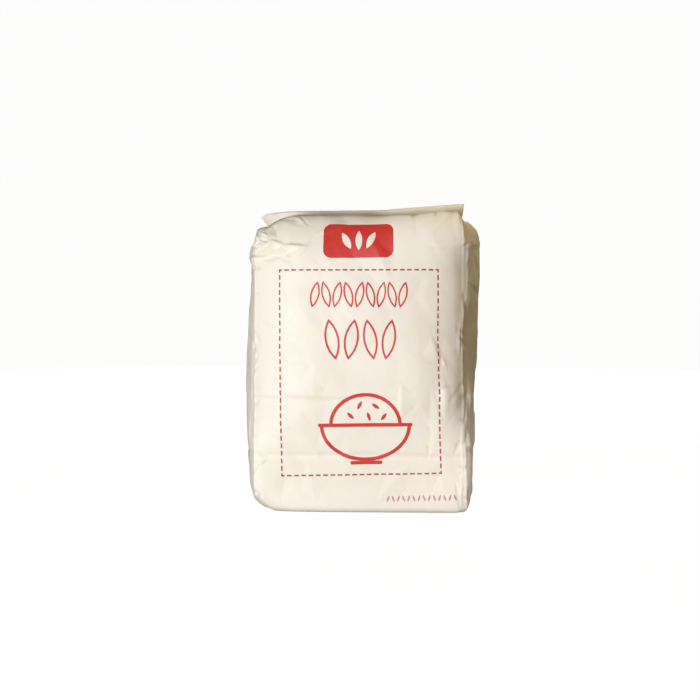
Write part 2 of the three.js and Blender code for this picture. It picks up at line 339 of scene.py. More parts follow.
# flat facets: a net of points, each moved at random by up to a quarter of a cell and given a random
# height, joined by triangles; a grid point takes its height from the plane of the one it lies in
def facets(random, cellAcross, cellUp):
    netAcross = max(int(round(paperRound / cellAcross)), 3)
    netUp = int(paperUp[-1] / cellUp) + 5
    heights = random.standard_normal((netUp, netAcross))
    moved = random.uniform(-0.25, 0.25, (2, netUp, netAcross))
    x = acrossGrid / paperRound * netAcross
    y = upGrid / cellUp + 2
    column, row = np.floor(x).astype(int), np.floor(y).astype(int)
    made = np.zeros(x.shape)

    def netPoint(i, j):
        r, c = row + i, (column + j) % netAcross
        return column + j + moved[0][r, c] - x, row + i + moved[1][r, c] - y, heights[r, c]

    for i in (-1, 0, 1):
        for j in (-1, 0, 1):
            for first in ((i, j), (i + 1, j + 1)):
                (ax, ay, ah), (bx, by, bh), (cx, cy, ch) = (
                    netPoint(*first), netPoint(i, j + 1), netPoint(i + 1, j))
                a, b, c = bx * cy - by * cx, cx * ay - cy * ax, ax * by - ay * bx
                within = (np.minimum(np.minimum(a, b), c) >= 0) | (np.maximum(np.maximum(a, b), c) <= 0)
                total = np.where(a + b + c == 0, 1, a + b + c)
                made = np.where(within, (a * ah + b * bh + c * ch) / total, made)
    return made


crumple = {
    "seed": 11,
    # how crumpled the paper is everywhere, and what these places add to it
    "plain": 0.22, "sides": 0.5, "corners": 0.35, "shoulders": 0.35, "shoulderCorners": 0.8,
    "footCorners": 0.6,
    "cornersReach": 0.022, "sideEdge": (-0.004, 0.012),     # how far in from the creases they lie
    "shoulderHeights": (0.215, 0.262), "footHeights": (0.040, 0.008),
    "lumpSize": (0.055, 0.06), "frontLumps": 0.0007, "sideLumps": 0.0009,
    "facetSizes": ((0.046, 0.058), (0.023, 0.028), (0.011, 0.013)),
    "facetRises": (0.00100, 0.00048, 0.00016),
    "facetShares": (0.65, 0.75),          # of that rise: everywhere, and for each 1 of crumpledness
    "cornerShare": 0.15,                  # of lumps and facets left on the creases
    "cornerHold": 0.012,                  # from which they grow over this width
    "folds": 240, "foldRise": 0.0008,
    "frontShare": 0.35,                   # of that rise on the front, whose folds are listed above
    "foldWays": (0.25, 0.3, 0.45),        # shares that lie level, upright and any way
    "foldTurn": 0.25, "foldHalf": (0.006, 0.026), "foldWide": (0.0020, 0.008),
    "nicks": 20, "nickRise": 0.0013,      # dents across each corner crease
    "nickTurn": 0.7, "nickHalf": (0.004, 0.014), "nickWide": (0.0010, 0.0050), "nickAside": 0.0015,
    "cornerRise": 0.0005,                 # the corner creases stand proud by this
    "cornerWide": 0.0022,                 # over this to each side
    "fullBend": 0.0009,                       # a bend this sharp gets the full worn paleness on a ridge and the full painted shade in a valley
    "fadeFoot": 0.006,                    # the relief fades out this far above the base ring
    "fadeMouth": 0.010,                   # and this far from the mouth
}


def distanceToCorner(across):
    place = across % halfRound
    return np.minimum(np.minimum(place, halfRound - place), np.abs(place - paper["width"]))


# how crumpled the paper is: little on the front and back, more on the sides, and most at the
# shoulders and near the corners
def crumpledness(across, up):
    place = across % halfRound
    near = np.exp(-(distanceToCorner(across) / crumple["cornersReach"]) ** 2)
    low, high = crumple["sideEdge"]
    side = smoothStep(paper["width"] + low, paper["width"] + high, place)
    side = side * smoothStep(halfRound - low, halfRound - high, place)
    shoulder = smoothStep(*crumple["shoulderHeights"], up)
    foot = smoothStep(*crumple["footHeights"], up)
    return (crumple["plain"] + crumple["sides"] * side + crumple["corners"] * near
            + shoulder * (crumple["shoulders"] + crumple["shoulderCorners"] * near)
            + foot * crumple["footCorners"] * near)


# folds of a side panel, whose left corner lies at start: the gusset's middle crease, the two
# diagonals of the block bottom that meet on it, and the level fold through their meeting
def sideFolds(start):
    middle, end, fold = start + paper["depth"] * 500, start + paper["depth"] * 1000, 58
    return [((middle, fold), (middle, 330), -1.1, 7, 7), ((middle, fold), (middle, 200), -0.5, 3, 3),
            ((start, 6), (middle, fold), 0.9, 7, 7), ((end, 6), (middle, fold), 0.9, 7, 7),
            ((start - 4, fold), (end + 4, fold), -0.8, 7, 4)]


# the relief of the paper over the smooth bag, as heights along its normals
def paperRelief():
    random = np.random.default_rng(crumple["seed"])
    rough = crumpledness(acrossGrid, upGrid)
    side = np.clip((rough - crumple["plain"]) / crumple["sides"], 0, 1)
    relief = lumps(random, *crumple["lumpSize"]) * (
        crumple["frontLumps"] + (crumple["sideLumps"] - crumple["frontLumps"]) * side)
    always, added = crumple["facetShares"]
    for size, rise in zip(crumple["facetSizes"], crumple["facetRises"]):
        relief += facets(random, *size) * rise * (always + added * rough)
    left = crumple["cornerShare"]
    relief *= left + (1 - left) * smoothStep(0, crumple["cornerHold"], distanceToCorner(acrossGrid))
    folds = list(frontFolds)
    for start in (paper["width"] * 1000, (halfRound + paper["width"]) * 1000):
        folds += sideFolds(start)
    for start, end, rise, before, after, *ends in folds:
        addFold(relief, np.array(start) / 1000, np.array(end) / 1000, rise / 1000,
                before / 1000, after / 1000, *ends)
    for _ in range(crumple["folds"]):
        middle = random.uniform((0, 0.004), (paperRound, paperUp[-1]))
        angle = random.choice([0, math.pi / 2, random.uniform(0, math.pi)], p=crumple["foldWays"])
        angle += random.normal(0, crumple["foldTurn"])
        rough = crumpledness(*middle)
        half = random.uniform(*crumple["foldHalf"]) * (0.8 + rough)
        wide = random.uniform(*crumple["foldWide"], 2)
        rise = random.normal(0, 1) * crumple["foldRise"] * rough
        rise *= crumple["frontShare"] if middle[0] < paper["width"] else 1
        way = np.array([math.cos(angle), math.sin(angle)])
        lead = random.uniform(0.15, 0.85)
        addFold(relief, middle - way * half, middle + way * half, rise, *wide, lead, 1 - lead)
    for corner in (0, paper["width"], halfRound, halfRound + paper["width"]):
        addFold(relief, np.array([corner, -0.05]), np.array([corner, paperUp[-1] + 0.05]),
                crumple["cornerRise"], crumple["cornerWide"], crumple["cornerWide"])
        for up in random.uniform(0.01, paperUp[-1] - 0.01, crumple["nicks"]):
            middle = np.array([corner + random.normal(0, crumple["nickAside"]), up])
            angle = random.normal(0, crumple["nickTurn"])
            way = np.array([math.cos(angle), math.sin(angle)]) * random.uniform(*crumple["nickHalf"])
            rise = -crumple["nickRise"] * random.uniform(0.15, 1) ** 2
            addFold(relief, middle - way, middle + way, rise, *random.uniform(*crumple["nickWide"], 2))
    fade = smoothStep(0, crumple["fadeFoot"], upGrid)
    return relief * fade * smoothStep(paperUp[-1], paperUp[-1] - crumple["fadeMouth"], upGrid)


relief = paperRelief()
skinGrid = bagGrid + bagNormals * relief[:, :, None]
skinGrid[:, :, 2] = np.maximum(skinGrid[:, :, 2], 0)
print("relief", round(relief.min() * 1000, 2), "to", round(relief.max() * 1000, 2), "mm")


# points of the skin at places of the unrolled paper, blended between the nearest grid points
def surfaceAt(across, up, grid):
    columns = len(paperAcross)
    column = np.interp(across % paperRound, np.append(paperAcross, paperRound), np.arange(columns + 1))
    row = np.interp(up, paperUp, np.arange(len(paperUp)))
    c, r = np.floor(column).astype(int), np.minimum(np.floor(row).astype(int), len(paperUp) - 2)
    x, y = (column - c)[..., None], (row - r)[..., None]
    c, after = c % columns, (c + 1) % columns
    return ((grid[r, c] * (1 - x) + grid[r, after] * x) * (1 - y)
            + (grid[r + 1, c] * (1 - x) + grid[r + 1, after] * x) * y)


# a mesh object from points and faces given as arrays
def newPiece(name, points, quads, triangles=()):
    mesh = bpy.data.meshes.new(name)
    mesh.from_pydata(points.tolist(), [], quads.tolist() + [list(face) for face in triangles])
    mesh.polygons.foreach_set("use_smooth", np.ones(len(mesh.polygons), bool))
    mesh.update()
    piece = bpy.data.objects.new(name, mesh)
    bpy.context.scene.collection.objects.link(piece)
    return piece


# quads between neighbours of a grid of rows by columns; closed joins the last column to the first
def gridQuads(rows, columns, closed=False):
    row, column = np.meshgrid(np.arange(rows - 1), np.arange(columns - (not closed)), indexing="ij")
    after = (column + 1) % columns
    return np.stack([row * columns + column, row * columns + after,
                     (row + 1) * columns + after, (row + 1) * columns + column], axis=2).reshape(-1, 4)


# the skin of the bag: the relief grid, closed by rings that shrink to a point under the base and
# by a fan in the mouth, inside the closing strip
def makeSkin():
    rows, columns = skinGrid.shape[:2]
    shrink = np.linspace(1, 0, bagShape["baseRings"] + 1)[1:-1]
    base = skinGrid[:1] * shrink[::-1, None, None]
    base[:, :, 2] = baseFlaps["recess"]
    rings = np.concatenate([base, skinGrid])
    points = np.concatenate([rings.reshape(-1, 3), [[0, 0, baseFlaps["recess"]]],
                             [skinGrid[-1].mean(axis=0)]])
    count = len(rings)
    here = np.arange(columns)
    after = (here + 1) % columns
    last = (count - 1) * columns
    caps = np.concatenate([
        np.stack([after, here, np.full(columns, count * columns)], axis=1),
        np.stack([last + here, last + after, np.full(columns, count * columns + 1)], axis=1)])
    skin = newPiece("bag_skin", points, gridQuads(count, columns, True), caps.tolist())

    # the paper map is the unrolled paper in metres; under the base it runs on below zero
    row, column = np.meshgrid(np.arange(count - 1), here, indexing="ij")
    ringUp = np.concatenate([-paper["under"] * (1 - shrink[::-1]), paperUp])
    edge = np.append(paperAcross, paperRound)
    quadMap = np.stack([
        np.stack([edge[column], edge[column + 1], edge[column + 1], edge[column]], axis=2),
        np.stack([ringUp[row], ringUp[row], ringUp[row + 1], ringUp[row + 1]], axis=2)], axis=3)
    ends = np.stack([edge[here], edge[here + 1]], axis=1)
    middle = ends.mean(axis=1)
    baseMap = np.stack([np.stack([ends[:, 1], ends[:, 0], middle], axis=1),
                        np.broadcast_to([ringUp[0], ringUp[0], -paper["under"]], (columns, 3))], axis=2)
    top = ringUp[-1]
    mouthMap = np.stack([np.stack([ends[:, 0], ends[:, 1], middle], axis=1),
                         np.broadcast_to([top, top, top + paper["past"]], (columns, 3))], axis=2)
    loops = np.concatenate([quadMap.reshape(-1, 2), baseMap.reshape(-1, 2), mouthMap.reshape(-1, 2)])
    skin.data.uv_layers.new(name="paper").data.foreach_set("uv", loops.astype(np.float32).ravel())

    # above 0 on sharp ridges, where the paper is worn pale, and below 0 in valleys, where it marks the
    # painted shade of the creases
    bend = np.roll(relief, 2, 1) + np.roll(relief, -2, 1) - 2 * relief
    bend[2:-2] += relief[4:] + relief[:-4] - 2 * relief[2:-2]
    wearAndCreaseShade = np.clip(-bend / crumple["fullBend"], -1, 1)
    wearAndCreaseShade = np.concatenate([np.zeros((count - rows, columns)), wearAndCreaseShade]).ravel()
    attribute = skin.data.attributes.new("wearAndCreaseShade", "FLOAT", "POINT")
    attribute.data.foreach_set("value", np.append(wearAndCreaseShade, [0, 0]).astype(np.float32))
    return skin


# the folded flaps of the block bottom, as thin sheets that overlap along the middle
baseFlaps = {
    "recess": 0.0009,           # the skin's own base lies this far above them
    "thick": 0.0003,
    "reach": 0.072,             # half their length
    "slant": 0.022,             # their ends are cut slanting by this
    "edge": 0.044,              # how far to the front or back they start
    "overlap": 0.009,
    "columns": 60, "rows": 24,
}


# a closed thin sheet between two grids of the same size
def makeSheet(name, upper, lower):
    rows, columns = upper.shape[:2]
    index = np.arange(rows * columns).reshape(rows, columns)
    rim = np.concatenate([index[0, :-1], index[:-1, -1], index[-1, :0:-1], index[:0:-1, 0]])
    after = np.roll(rim, -1)
    under = rows * columns
    quads = gridQuads(rows, columns)
    walls = np.stack([after, rim, rim + under, after + under], axis=1)
    return newPiece(name, np.concatenate([upper.reshape(-1, 3), lower.reshape(-1, 3)]),
                    np.concatenate([quads, quads[:, ::-1] + under, walls]))


def makeBaseFlaps():
    made = []
    for name, out, low in (("base_flap_inner", 1, baseFlaps["thick"]), ("base_flap_outer", -1, 0.0)):
        across = np.linspace(-1, 1, baseFlaps["columns"])[None, :]
        share = np.linspace(0, 1, baseFlaps["rows"])[:, None]
        half = baseFlaps["reach"] - baseFlaps["slant"] * share
        x = across * half
        y = out * (baseFlaps["edge"] - (baseFlaps["edge"] + baseFlaps["overlap"]) * share) + 0 * across
        flat = np.stack([x, y, np.full_like(x, low)], axis=2)
        if out > 0:
            flat = flat[:, ::-1]
        lift = np.array([0, 0, baseFlaps["thick"]])
        made.append(makeSheet(name, flat + lift, flat))
    return made


bagSkin = makeSkin()
baseSheets = makeBaseFlaps()
print("skin", len(bagSkin.data.polygons), "faces")

# the glued seam down the back: the edge of the sheet, lapped over the other edge
seam = {
    "across": 0.128, "wide": 0.016,     # where it lies on the back
    "from": 0.004, "to": 0.010,         # how far from the base and the mouth it ends
    "rise": 0.00042, "sink": 0.0002,    # of its two edges
    "bury": 0.0005,                     # its underside lies this deep
    "columns": 14, "rows": 330,
}


def makeSeam():
    share = np.linspace(0, 1, seam["columns"])[None, :]
    up = np.linspace(seam["from"], paperUp[-1] - seam["to"], seam["rows"])[:, None]
    across = halfRound + seam["across"] + seam["wide"] * share + 0 * up
    up = up + 0 * share
    place = surfaceAt(across, up, skinGrid)
    normal = surfaceAt(across, up, bagNormals)
    # the raised edge is at share 0, and the lap sinks into the skin at share 1
    lift = seam["rise"] * (1 - share ** 2) - seam["sink"] * share
    piece = makeSheet("back_seam", place + normal * lift[:, :, None], place - normal * seam["bury"])
    # the print runs on over the lap, so the seam has the same paper map
    corners = np.zeros(len(piece.data.loops), np.int32)
    piece.data.loops.foreach_get("vertex_index", corners)
    flat = np.stack([across, up], axis=2).reshape(-1, 2)
    paperMap = piece.data.uv_layers.new(name="paper")
    paperMap.data.foreach_set("uv", flat[corners % len(flat)].astype(np.float32).ravel())
    return piece


backSeam = makeSeam()
print("base flaps and back seam made")

# the closing strip: the mouth, folded over and over into a flat roll
strip = {
    "places": (-0.0945, -0.0812, -0.0616, 0.0167, 0.0333, 0.0695, 0.0970, 0.0990),
    "tops": (0.2850, 0.2872, 0.2882, 0.2886, 0.2900, 0.2928, 0.2947, 0.2948),
    "smooth": 15,               # steps of the window that smooths the top edge
    "tip": 0.0060,              # the left end sticks out to a point by this
    "tipHeight": 0.0036,        # below the top edge
    "tipSlant": 0.0080,         # and is cut back again over this
    "leftEnd": 0.05, "rightEnd": 0.97,      # the shares of the length where the ends begin
    "rightSlant": 0.0022,       # the right end is cut back at its foot by this
    "tall": 0.0150,
    "runs": (-0.0015, 0.0015, -0.0009, 0.0009, -0.0003),    # where each layer of the roll lies
    "innerEnd": 0.35,           # the last layer ends at this share of the height from the top
    "sheet": 0.00034,
    "leanBack": 0.10,
    "curlFrom": -0.080,         # left of here it curls forward
    "curl": 20.0,               # by this times the square of the distance
    "seed": 5,
    "wave": 0.00035, "waves": 26, "waveFoot": 0.4,      # it waves less at its foot than at its top
    "ragged": 0.0007, "raggedCells": 12,    # how uneven the cut ends are
    "lengthSteps": 190, "pathSteps": 84, "turnSteps": 13,
}


# the roll seen from its end: straight layers joined by half circles at the top and bottom, the
# first layer in front, each turn inside the one before
def rolledPath():
    runs = strip["runs"]
    turn = np.linspace(0, math.pi, strip["turnSteps"])
    outer = abs(runs[0])
    parts = [[[runs[0], -strip["tall"]]]]
    for k in range(len(runs) - 1):
        middle, radius = (runs[k] + runs[k + 1]) / 2, (runs[k + 1] - runs[k]) / 2
        centre = -outer if k % 2 == 0 else outer - strip["tall"]
        rise = np.sin(turn) * abs(radius) * (1 if k % 2 == 0 else -1)
        parts.append(np.stack([middle - radius * np.cos(turn), centre + rise], axis=1))
    parts.append([[runs[-1], -strip["tall"] * strip["innerEnd"]]])
    return evenSteps(np.concatenate(parts), strip["pathSteps"])


# values smoothed by a bell-shaped window of an odd number of steps
def smoothed(values, steps):
    bell = np.hanning(steps)
    return np.convolve(np.pad(values, steps // 2, mode="edge"), bell / bell.sum(), "valid")


# count values that wander at random: cells random ones, joined by straight lines and smoothed
def softRandom(random, count, cells):
    knots = random.normal(0, 1, cells)
    place = np.interp(np.linspace(0, 1, count), np.linspace(0, 1, cells), knots)
    return smoothed(place, count // cells * 2 + 3)


# the roll drawn along the top edge, with a pointed left end and a slanting right one
def makeStrip():
    random = np.random.default_rng(strip["seed"])
    path = rolledPath()
    along = np.gradient(path, axis=0)
    along /= np.linalg.norm(along, axis=1, keepdims=True)
    outward = np.stack([-along[:, 1], along[:, 0]], axis=1) * strip["sheet"] / 2
    ribbon = np.concatenate([path + outward, (path - outward)[::-1]])     # once round the sheet
    steps, around = strip["lengthSteps"], len(ribbon)
    share = np.linspace(0, 1, steps)[:, None]
    x = strip["places"][0] + (strip["places"][-1] - strip["places"][0]) * share
    top = np.interp(x, strip["places"], strip["tops"])
    top[:, 0] = smoothed(top[:, 0], strip["smooth"])
    y, z = ribbon[None, :, 0], ribbon[None, :, 1]
    height = (z + strip["tall"]) / strip["tall"]
    point = np.minimum(-z / strip["tipHeight"], 1 - (-z - strip["tipHeight"]) / strip["tipSlant"])
    wave = softRandom(random, steps, strip["waves"])[:, None] * strip["wave"]
    wave = wave * (strip["waveFoot"] + height)
    ragged = softRandom(random, around, strip["raggedCells"])[None, :] * strip["ragged"]
    ends = (smoothStep(strip["leftEnd"], 0, share) * -(strip["tip"] * point + ragged)
            + smoothStep(strip["rightEnd"], 1, share) * (ragged - strip["rightSlant"] * (1 - height)))
    forward = strip["curl"] * np.clip(strip["curlFrom"] - x, 0, None) ** 2
    points = np.stack([x + ends, y + wave + strip["leanBack"] * (z + strip["tall"]) - forward,
                       top + z], axis=2)
    # the two ends of the sheet are closed by quads between its two faces
    half = np.arange(around // 2 - 1)
    cap = np.stack([half, half + 1, around - 2 - half, around - 1 - half], axis=1)
    quads = np.concatenate([gridQuads(steps, around, True)[:, ::-1], cap,
                            cap[:, ::-1] + (steps - 1) * around])
    return newPiece("closing_strip", points.reshape(-1, 3), quads)


closingStrip = makeStrip()
print("closing strip made")


# the colours of the paper and of the ink; the duller one tints the fibres and is also painted as shade
# into the creases
colours = {
    "paper": (0.89, 0.846, 0.760), "pale": (0.925, 0.888, 0.82), "fibreAndCreaseShade": (0.78, 0.715, 0.61),
    "ink": (0.62, 0.036, 0.030), "inkWorn": (0.66, 0.085, 0.070), "lineInk": (0.46, 0.045, 0.050),
}

# the unevenness of paper and ink: for each kind its cells in a metre, detail and roughness
grains = {
    "cloud": (35, 4), "fibre": (900, 2), "dents": (140, 3, 0.6), "inkEdge": (1100, 3), "patch": (500, 3),
}

# the print, in millimetres on the unrolled front: x from the left corner and y up from the base
layout = {
    "soft": 0.25,               # how far an edge of ink takes to fade
    "rough": 0.4,               # and how uneven it is
    "skew": 0.010,              # the print leans to the left by this much of its height
    "tilt": 0.0075,             # it rises to the right by this much of its width at the middle
    "fan": 0.00017,             # and by this much less for each millimetre further up
    "frame": {"middle": (104.3, 137.2), "half": (77.8, 96.9), "stroke": 1.5,
              "dash": (7.07, 7.17), "gap": 0.34},
    "badge": {"middle": (103.5, 262), "half": (34.5, 16.5), "round": 7.5, "grain": (3.3, 9.5),
              "sideGrain": (3.3, 9.0), "sideGrains": ((-12, 0.5), (12, -0.5))},
    "smallGrains": {"middle": (104, 211), "count": 9, "pitch": 10.8, "half": (3.6, 11.4),
                    "stroke": 1.6, "tilt": 0.24},
    "largeGrains": {"middle": (105, 169), "count": 4, "pitch": 18.6, "half": (6.0, 17.8),
                    "stroke": 2.0, "tilt": -0.18},
    "bowl": {"middle": (109, 88), "wide": 43, "tall": 33, "heap": (34, 29), "stroke": 3.5,
             "foot": 14, "grains": ((-15, 9, 0.8), (-6, 19, -0.5), (3, 8, 0.3), (10, 18, 1.0),
                                    (18, 8, -0.7)), "grain": (1.7, 4.6)},
    "dots": {"middle": (162, 16.5), "count": 14, "pitch": 5.0, "half": (0.95, 3.4), "tilt": 0.35,
             "strength": 0.68},
}


# maths on shader values: each call adds a Math node and gives back its output
def mathsFor(tree):
    def maths(operation, *values, clamp=False):
        node = tree.nodes.new("ShaderNodeMath")
        node.operation = operation
        node.use_clamp = clamp
        for socket, value in zip(node.inputs, values):
            if isinstance(value, bpy.types.NodeSocket):
                tree.links.new(value, socket)
            else:
                socket.default_value = value
        return node.outputs[0]
    return maths


# the masks of the print, bold and fine: every shape is a distance to its outline, turned into ink
# where it is less than half the stroke
def printMasks(tree, x, y, rough):
    maths = mathsFor(tree)

    def plus(a, b):
        return maths("ADD", a, b)

    def minus(a, b):
        return maths("SUBTRACT", a, b)

    def times(a, b):
        return maths("MULTIPLY", a, b)

    def larger(a, b):
        return maths("MAXIMUM", a, b)

    def size(a):
        return maths("ABSOLUTE", a)

    def inked(distance, half):
        edge = minus(half, plus(distance, rough))
        return maths("ADD", maths("DIVIDE", edge, layout["soft"]), 0.5, clamp=True)

    def length(a, b):
        return maths("SQRT", plus(times(a, a), times(b, b)))

    def turned(a, b, angle):    # angle may be a socket
        cos, sin = maths("COSINE", angle), maths("SINE", angle)
        return plus(times(a, cos), times(b, sin)), minus(times(b, cos), times(a, sin))

    def fromMiddle(shape):
        return minus(x, shape["middle"][0]), minus(y, shape["middle"][1])

    def grain(a, b, half):      # where two circles overlap: a lens with pointed ends
        radius = (half[0] ** 2 + half[1] ** 2) / (2 * half[0])
        return minus(length(plus(size(a), radius - half[0]), b), radius)

    def oval(a, b, wide, tall):     # distance to an ellipse, from its slope there
        near = length(maths("DIVIDE", a, wide), maths("DIVIDE", b, tall))
        slope = length(maths("DIVIDE", a, wide * wide), maths("DIVIDE", b, tall * tall))
        return maths("DIVIDE", times(near, minus(near, 1)), larger(slope, 0.001))

    def line(a, b, half):       # a level line with round ends
        return length(larger(minus(size(a), half), 0), b)

    def dashedFrame(shape):
        a, b = fromMiddle(shape)
        fromSide = minus(size(a), shape["half"][0])
        fromEnd = minus(size(b), shape["half"][1])

        def dashed(run, dash):      # the gap is the middle part of each step
            place = size(minus(maths("FRACT", plus(maths("DIVIDE", run, dash), 100)), 0.5))
            return inked(times(minus(shape["gap"] / 2, place), dash), 0)

        half = shape["stroke"] / 2
        level = times(inked(larger(size(fromEnd), fromSide), half), dashed(fromSide, shape["dash"][0]))
        upright = times(inked(larger(size(fromSide), fromEnd), half), dashed(fromEnd, shape["dash"][1]))
        return larger(level, upright)

    def grainRow(shape):
        a, b = fromMiddle(shape)
        a = plus(a, shape["count"] * shape["pitch"] / 2)
        number = maths("FLOOR", maths("DIVIDE", a, shape["pitch"]))
        a = minus(a, times(plus(number, 0.5), shape["pitch"]))
        odd = minus(times(maths("FLOORED_MODULO", number, 2), 2), 1)
        distance = grain(*turned(a, b, times(odd, shape["tilt"])), shape["half"])
        within = times(maths("GREATER_THAN", number, -0.5),
                       maths("LESS_THAN", number, shape["count"] - 0.5))
        if "stroke" in shape:
            return times(inked(size(distance), shape["stroke"] / 2), within)
        return times(inked(distance, 0), within)

    def badge(shape):
        a, b = fromMiddle(shape)
        fromSide = minus(size(a), shape["half"][0] - shape["round"])
        fromEnd = minus(size(b), shape["half"][1] - shape["round"])
        outside = length(larger(fromSide, 0), larger(fromEnd, 0))
        inside = maths("MINIMUM", larger(fromSide, fromEnd), 0)
        bare = inked(grain(a, b, shape["grain"]), 0)
        for place, lean in shape["sideGrains"]:
            one = grain(*turned(minus(a, place), b, lean), shape["sideGrain"])
            bare = larger(bare, inked(one, 0))
        return times(inked(plus(outside, inside), shape["round"]), minus(1, bare))

    def bowl(shape):
        a, b = fromMiddle(shape)
        half = shape["stroke"] / 2
        side = larger(size(oval(a, b, shape["wide"], shape["tall"])), plus(b, half))
        heap = larger(size(oval(a, b, *shape["heap"])), minus(half, b))
        rim = line(a, b, shape["wide"] + half)
        foot = line(a, plus(b, shape["tall"] + shape["stroke"] * 0.9), shape["foot"])
        made = inked(maths("MINIMUM", maths("MINIMUM", side, heap), maths("MINIMUM", rim, foot)), half)
        for right, up, lean in shape["grains"]:
            one = grain(*turned(minus(a, right), minus(b, up), lean), shape["grain"])
            made = larger(made, inked(one, 0))
        return made

    bold = larger(larger(badge(layout["badge"]), bowl(layout["bowl"])),
                  larger(grainRow(layout["smallGrains"]), grainRow(layout["largeGrains"])))
    faint = times(grainRow(layout["dots"]), layout["dots"]["strength"])
    return bold, larger(dashedFrame(layout["frame"]), faint)


def colourMix(tree, share, low, high):
    node = tree.nodes.new("ShaderNodeMix")
    node.data_type = "RGBA"
    for socket, value in ((node.inputs[0], share), (node.inputs[6], low), (node.inputs[7], high)):
        if isinstance(value, bpy.types.NodeSocket):
            tree.links.new(value, socket)
        else:
            socket.default_value = (*value, 1) if isinstance(value, tuple) else value
    return node.outputs[2]


def noise(tree, places, scale, detail=3.0, rough=0.55):
    node = tree.nodes.new("ShaderNodeTexNoise")
    node.inputs["Scale"].default_value = scale
    node.inputs["Detail"].default_value = detail
    node.inputs["Roughness"].default_value = rough
    tree.links.new(places, node.inputs["Vector"])
    return node.outputs["Fac"]


def remap(tree, value, low, high, outLow, outHigh):
    node = tree.nodes.new("ShaderNodeMapRange")
    tree.links.new(value, node.inputs["Value"])
    for name, number in (("From Min", low), ("From Max", high), ("To Min", outLow), ("To Max", outHigh)):
        node.inputs[name].default_value = number
    return node.outputs["Result"]


# machine-finished paper: cream with cloudy fibres, paler on worn ridges, and with painted shade darkening
# the creases
def makePaper(name, printed):
    material = bpy.data.materials.new(name)
    material.use_nodes = True
    tree = material.node_tree
    link = tree.links.new
    maths = mathsFor(tree)
    shader = tree.nodes["Principled BSDF"]
    shader.inputs["Specular IOR Level"].default_value = 0.35
    places = tree.nodes.new("ShaderNodeTexCoord").outputs["Object"]
    cloud = noise(tree, places, *grains["cloud"])
    fibre = noise(tree, places, *grains["fibre"])
    colour = colourMix(tree, remap(tree, cloud, 0.35, 0.65, 0, 1), colours["paper"],
                       tuple(c * 0.985 for c in colours["paper"]))
    colour = colourMix(tree, remap(tree, fibre, 0.3, 0.7, 0, 0.08), colour, colours["fibreAndCreaseShade"])
    wearAndCreaseShade = tree.nodes.new("ShaderNodeAttribute")
    wearAndCreaseShade.attribute_name = "wearAndCreaseShade"
    colour = colourMix(tree, remap(tree, wearAndCreaseShade.outputs["Fac"], 0.1, 1, 0, 0.5), colour, colours["pale"])
    # painted shade: the valleys of the relief are darkened by mixing in the dull colour
    colour = colourMix(tree, remap(tree, wearAndCreaseShade.outputs["Fac"], -0.1, -1, 0, 0.6), colour, colours["fibreAndCreaseShade"])
    roughness = remap(tree, cloud, 0.3, 0.7, 0.50, 0.62)
    if printed:
        paperMap = tree.nodes.new("ShaderNodeUVMap")
        paperMap.uv_map = "paper"
        split = tree.nodes.new("ShaderNodeSeparateXYZ")
        link(paperMap.outputs["UV"], split.inputs["Vector"])
        # the back has the same print as the front
        y = maths("MULTIPLY", split.outputs["Y"], 1000)
        x = maths("FLOORED_MODULO", maths("MULTIPLY", split.outputs["X"], 1000), halfRound * 1000)
        right = maths("SUBTRACT", x, layout["frame"]["middle"][0])
        above = maths("SUBTRACT", y, layout["frame"]["middle"][1])
        slope = maths("SUBTRACT", layout["tilt"], maths("MULTIPLY", above, layout["fan"]))
        x = maths("ADD", x, maths("MULTIPLY", above, layout["skew"]))
        y = maths("SUBTRACT", y, maths("MULTIPLY", right, slope))
        rough = maths("SUBTRACT", noise(tree, places, *grains["inkEdge"]), 0.5)
        bold, fine = printMasks(tree, x, y, maths("MULTIPLY", rough, layout["rough"]))
        patchy = remap(tree, noise(tree, places, *grains["patch"]), 0.35, 0.75, 0, 0.4)
        colour = colourMix(tree, bold, colour, colourMix(tree, patchy, colours["ink"], colours["inkWorn"]))
        colour = colourMix(tree, fine, colour, colours["lineInk"])
        roughness = maths("SUBTRACT", roughness, maths("MULTIPLY", bold, 0.06))
    link(colour, shader.inputs["Base Color"])
    link(roughness, shader.inputs["Roughness"])
    # fine relief: fibres, and the small dents of handled paper
    dents = noise(tree, places, *grains["dents"])
    height = maths("ADD", maths("MULTIPLY", fibre, 0.06), maths("MULTIPLY", dents, 0.5))
    bump = tree.nodes.new("ShaderNodeBump")
    bump.inputs["Strength"].default_value = 0.35
    bump.inputs["Distance"].default_value = 0.0006
    link(height, bump.inputs["Height"])
    link(bump.outputs["Normal"], shader.inputs["Normal"])
    return material


printedPaper = makePaper("printed_paper", True)
plainPaper = makePaper("plain_paper", False)
for piece in (bagSkin, backSeam):
    piece.data.materials.append(printedPaper)
for piece in (closingStrip, *baseSheets):
    piece.data.materials.append(plainPaper)
print("materials made")

# the camera, placed as for the photo: frame is its width in pixels, and scale what one of them
# spans at the aim, in metres
photo = {"frame": 700, "scale": 0.0009445, "away": 1.3, "azimuth": 3.0, "elevation": 3.0,
         "aim": (-0.0098, -0.055, 0.1546), "sensor": 36}


def directionTo(azimuth, elevation):
    a, e = math.radians(azimuth), math.radians(elevation)
    return np.array([math.sin(a) * math.cos(e), -math.cos(a) * math.cos(e), math.sin(e)])


def aimAt(thing, place, target):
    thing.location = place
    thing.rotation_mode = "QUATERNION"
    thing.rotation_quaternion = (Vector(target) - Vector(place)).to_track_quat("-Z", "Y")


